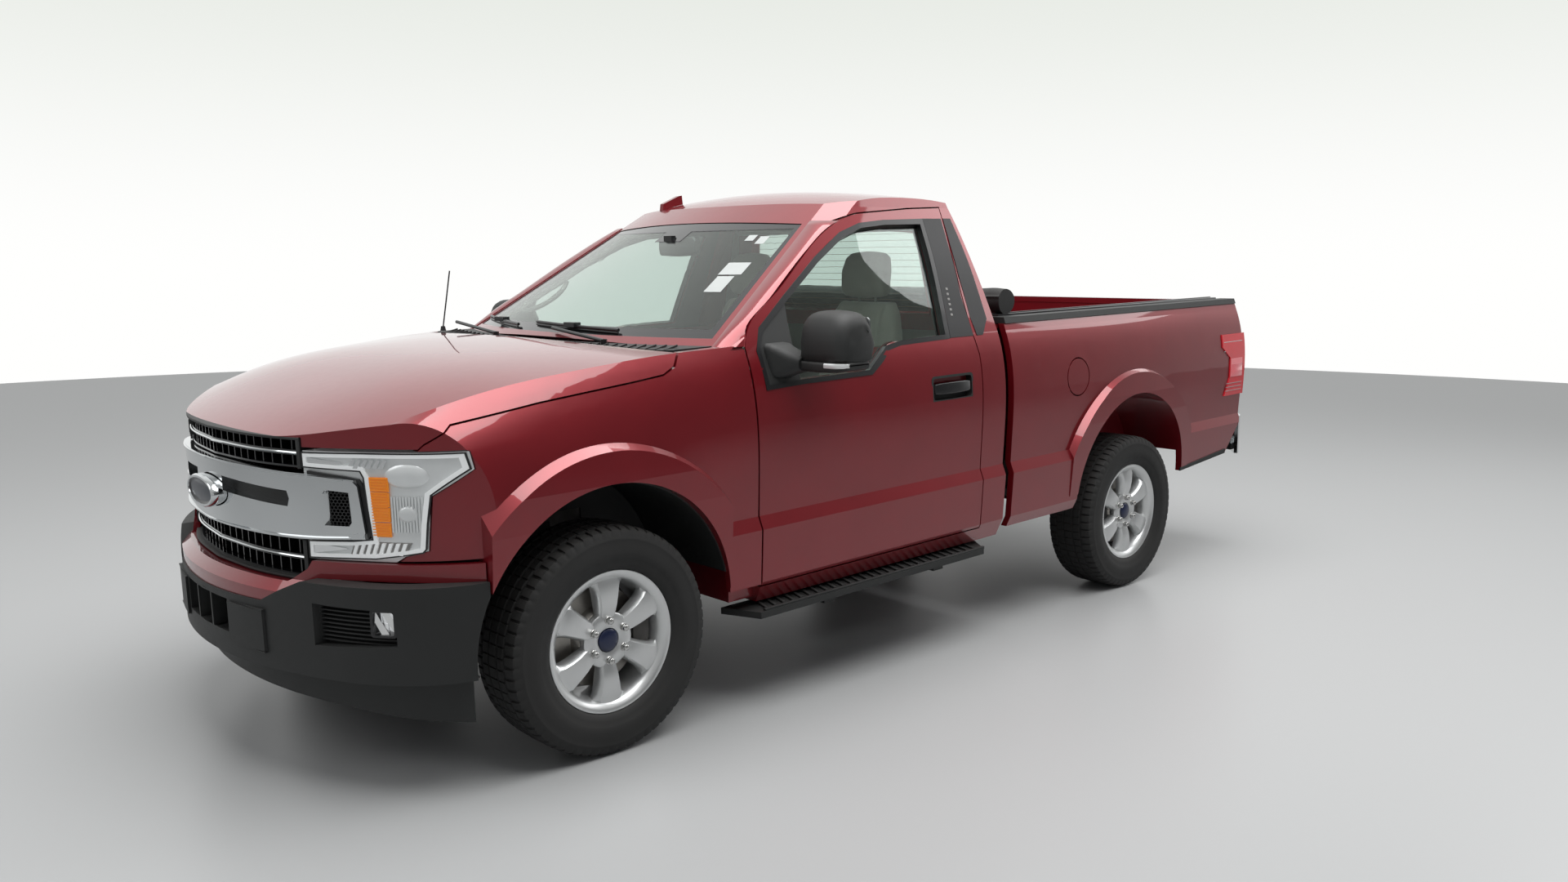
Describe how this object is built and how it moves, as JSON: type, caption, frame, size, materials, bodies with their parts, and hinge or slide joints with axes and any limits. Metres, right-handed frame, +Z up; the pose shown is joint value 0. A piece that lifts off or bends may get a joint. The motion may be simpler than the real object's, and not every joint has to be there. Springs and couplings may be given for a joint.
{
  "type": "regular cab pickup truck",
  "caption": "Regular cab pickup truck with a long load bed, running boards, alloy wheels and a rolled bed cover.",
  "frame": {"origin": "on the ground, at the middle of the truck's box seen from above", "axes": "+X forward, +Y to the vehicle's left, +Z up"},
  "size_m": [5.3086, 2.459, 1.9219],
  "materials": {
    "red_paint": "gloss",
    "black_plastic": "matte",
    "dark_plastic": "matte",
    "frame_black": "satin",
    "cast_dark": "matte",
    "steel": "satin",
    "bright_chrome": "polished",
    "silver_alloy": "satin",
    "tyre_rubber": "matte",
    "vinyl": "matte",
    "grey_cloth": "matte",
    "clear_glass": "polished",
    "lamp_glass": "polished",
    "lamp_red": "gloss"
  },
  "bodies": {
    "chassis": {"frame": "frame_black", "steering_rack": "frame_black", "engine": "cast_dark", "front_suspension": "frame_black", "rear_axle": "frame_black", "leaf_springs": "frame_black", "exhaust": "steel", "fuel_tank": "black_plastic", "spare_wheel": "tyre_rubber", "cab": "red_paint", "windscreen": "clear_glass", "rear_window": "clear_glass", "seat": "grey_cloth", "dashboard": "dark_plastic", "cowl": "black_plastic", "wipers": "black_plastic", "fenders": "red_paint", "wheel_liners": "black_plastic", "headlamps": "lamp_glass", "grille_bar": "bright_chrome", "grille": "black_plastic", "bumper_cover": "red_paint", "front_bumper": "black_plastic", "air_dam": "black_plastic", "fog_lamps": "lamp_glass", "bed": "red_paint", "bed_sides": "red_paint", "bed_rails": "black_plastic", "tonneau_roll": "vinyl", "tail_lamps": "lamp_red", "rear_bumper": "bright_chrome", "side_steps": "black_plastic", "aerial_mast": "black_plastic", "roof_fin": "red_paint"},
    "hood": {"hood": "red_paint"},
    "tailgate": {"tailgate": "red_paint"},
    "fuel_door": {"fuel_door": "red_paint"},
    "steering_wheel": {"steering_wheel": "dark_plastic"},
    "door_left": {"door_left": "red_paint", "door_left_glass": "clear_glass", "door_left_fittings": "black_plastic"},
    "door_right": {"door_right": "red_paint", "door_right_glass": "clear_glass", "door_right_fittings": "black_plastic"},
    "knuckle_left": {"knuckle_left": "cast_dark"},
    "knuckle_right": {"knuckle_right": "cast_dark"},
    "wheel_front_left": {"tyre_front_left": "tyre_rubber", "rim_front_left": "silver_alloy"},
    "wheel_front_right": {"tyre_front_right": "tyre_rubber", "rim_front_right": "silver_alloy"},
    "wheel_rear_left": {"tyre_rear_left": "tyre_rubber", "rim_rear_left": "silver_alloy"},
    "wheel_rear_right": {"tyre_rear_right": "tyre_rubber", "rim_rear_right": "silver_alloy"}
  },
  "joints": [
    {"name": "steer_left", "type": "hinge", "parent": "chassis", "child": "knuckle_left", "pos_m": [1.708, 0.79, 0.38], "axis": [0, 0, 1], "range_deg": [-32, 32]},
    {"name": "steer_right", "type": "hinge", "parent": "chassis", "child": "knuckle_right", "pos_m": [1.708, -0.79, 0.38], "axis": [0, 0, 1], "range_deg": [-32, 32]},
    {"name": "spin_front_left", "type": "hinge", "parent": "knuckle_left", "child": "wheel_front_left", "pos_m": [1.708, 0.8585, 0.38], "axis": [0, 1, 0], "continuous": true},
    {"name": "spin_front_right", "type": "hinge", "parent": "knuckle_right", "child": "wheel_front_right", "pos_m": [1.708, -0.8585, 0.38], "axis": [0, 1, 0], "continuous": true},
    {"name": "spin_rear_left", "type": "hinge", "parent": "chassis", "child": "wheel_rear_left", "pos_m": [-1.401, 0.8585, 0.38], "axis": [0, 1, 0], "continuous": true},
    {"name": "spin_rear_right", "type": "hinge", "parent": "chassis", "child": "wheel_rear_right", "pos_m": [-1.401, -0.8585, 0.38], "axis": [0, 1, 0], "continuous": true},
    {"name": "turn_steering_wheel", "type": "hinge", "parent": "chassis", "child": "steering_wheel", "pos_m": [0.73259, 0.395, 1.11832], "axis": [-0.8961, 0, 0.4439], "range_deg": [-480, 480]},
    {"name": "open_door_left", "type": "hinge", "parent": "chassis", "child": "door_left", "pos_m": [1.15203, 0.95, 0.91275], "axis": [-0.0227, 0, -0.9997], "range_deg": [0, 65]},
    {"name": "open_door_right", "type": "hinge", "parent": "chassis", "child": "door_right", "pos_m": [1.15203, -0.95, 0.91275], "axis": [0.0227, 0, 0.9997], "range_deg": [0, 65]},
    {"name": "open_hood", "type": "hinge", "parent": "chassis", "child": "hood", "pos_m": [1.26022, 0, 1.27239], "axis": [0, -1, 0], "range_deg": [0, 52]},
    {"name": "drop_tailgate", "type": "hinge", "parent": "chassis", "child": "tailgate", "pos_m": [-2.43213, 0, 0.85805], "axis": [0, -1, 0], "range_deg": [0, 88]},
    {"name": "open_fuel_door", "type": "hinge", "parent": "chassis", "child": "fuel_door", "pos_m": [-0.82158, 0.97345, 1.08457], "axis": [-0.0227, 0.047, -0.9986], "range_deg": [0, 85]}
  ],
  "couplings": [
    {"joint": "steer_right", "follows": "steer_left", "ratio": 1},
    {"joint": "turn_steering_wheel", "follows": "steer_left", "ratio": 15}
  ]
}
